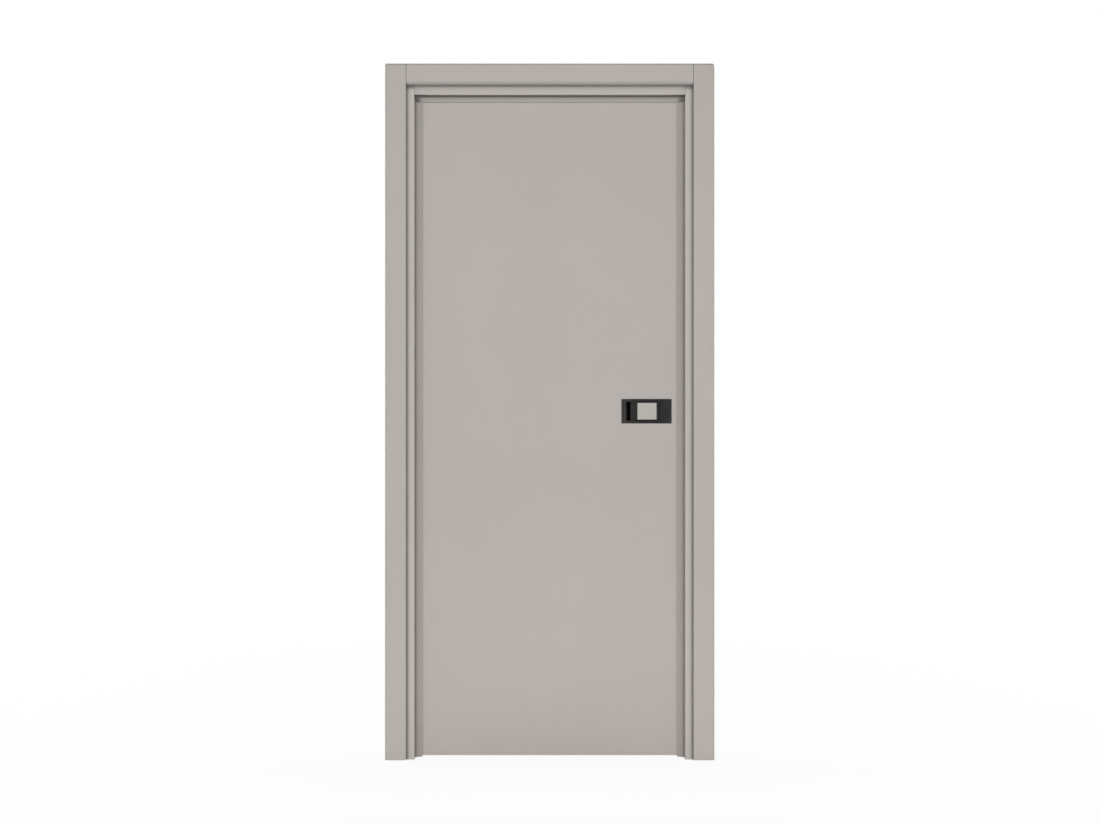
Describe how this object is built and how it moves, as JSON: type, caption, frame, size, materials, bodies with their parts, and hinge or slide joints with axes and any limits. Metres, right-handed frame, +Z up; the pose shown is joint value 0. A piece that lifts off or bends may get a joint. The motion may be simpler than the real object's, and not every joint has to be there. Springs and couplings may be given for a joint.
{
  "type": "prehung interior door",
  "caption": "Flush interior door hung in its frame with stops, seals and casings, butt hinges on the far side, and a flush paddle handle in a black plate on each face.",
  "frame": {"origin": "on the wall-side face of the hinge jamb, at floor level, in the middle of the wall's thickness", "axes": "+Z up, +X from the hinge jamb to the strike jamb, +Y through the wall, the way the leaf opens"},
  "size_m": [1.016, 0.106, 2.1475],
  "materials": {
    "frame_paint": "matte greige film on timber",
    "casing_paint": "matte greige film on timber",
    "leaf_paint": "matte greige film on board",
    "leaf_timber": "painted softwood",
    "leaf_core_board": "light honeycomb filling",
    "seal_rubber": "matte greige soft strip",
    "hinge_metal": "satin black",
    "lock_metal": "satin black",
    "latch_plastic": "matte black",
    "pin_steel": "plain steel",
    "handle_black": "satin black",
    "tile_paint": "matte greige film, as on the leaf"
  },
  "bodies": {
    "frame": {"hinge_jamb": "frame_paint", "strike_jamb": "frame_paint", "head_jamb": "frame_paint", "hinge_stop": "frame_paint", "strike_stop": "frame_paint", "head_stop": "frame_paint", "hinge_side_seal": "seal_rubber", "strike_side_seal": "seal_rubber", "head_seal": "seal_rubber", "front_hinge_side_casing": "casing_paint", "front_strike_side_casing": "casing_paint", "front_head_casing": "casing_paint", "back_hinge_side_casing": "casing_paint", "back_strike_side_casing": "casing_paint", "back_head_casing": "casing_paint", "strike_plate": "lock_metal", "top_hinge_frame_plate": "hinge_metal", "top_hinge_pin": "hinge_metal", "middle_hinge_frame_plate": "hinge_metal", "middle_hinge_pin": "hinge_metal", "bottom_hinge_frame_plate": "hinge_metal", "bottom_hinge_pin": "hinge_metal"},
    "leaf": {"front_skin": "leaf_paint", "back_skin": "leaf_paint", "hinge_stile": "leaf_timber", "lock_stile": "leaf_timber", "top_rail": "leaf_timber", "bottom_rail": "leaf_timber", "lock_block": "leaf_timber", "leaf_core": "leaf_core_board", "lock_forend": "lock_metal", "magnetic_latch": "latch_plastic", "front_handle_plate": "handle_black", "back_handle_plate": "handle_black", "front_paddle_pin": "pin_steel", "back_paddle_pin": "pin_steel", "top_hinge_door_plate": "hinge_metal", "middle_hinge_door_plate": "hinge_metal", "bottom_hinge_door_plate": "hinge_metal"},
    "front_paddle": {"front_paddle": "handle_black", "front_paddle_tile": "tile_paint"},
    "back_paddle": {"back_paddle": "handle_black", "back_paddle_tile": "tile_paint"}
  },
  "joints": [
    {"name": "door_swing", "type": "hinge", "parent": "frame", "child": "leaf", "pos_m": [0.0425, 0.049, 1], "axis": [0, 0, 1], "range_deg": [0, 110]},
    {"name": "front_paddle_pull", "type": "hinge", "parent": "leaf", "child": "front_paddle", "pos_m": [0.795, 0.0021, 1.075], "axis": [0, 0, 1], "range_deg": [0, 25], "stiffness_Nm_per_rad": 0.3},
    {"name": "back_paddle_pull", "type": "hinge", "parent": "leaf", "child": "back_paddle", "pos_m": [0.795, 0.0419, 1.075], "axis": [0, 0, -1], "range_deg": [0, 25], "stiffness_Nm_per_rad": 0.3}
  ]
}
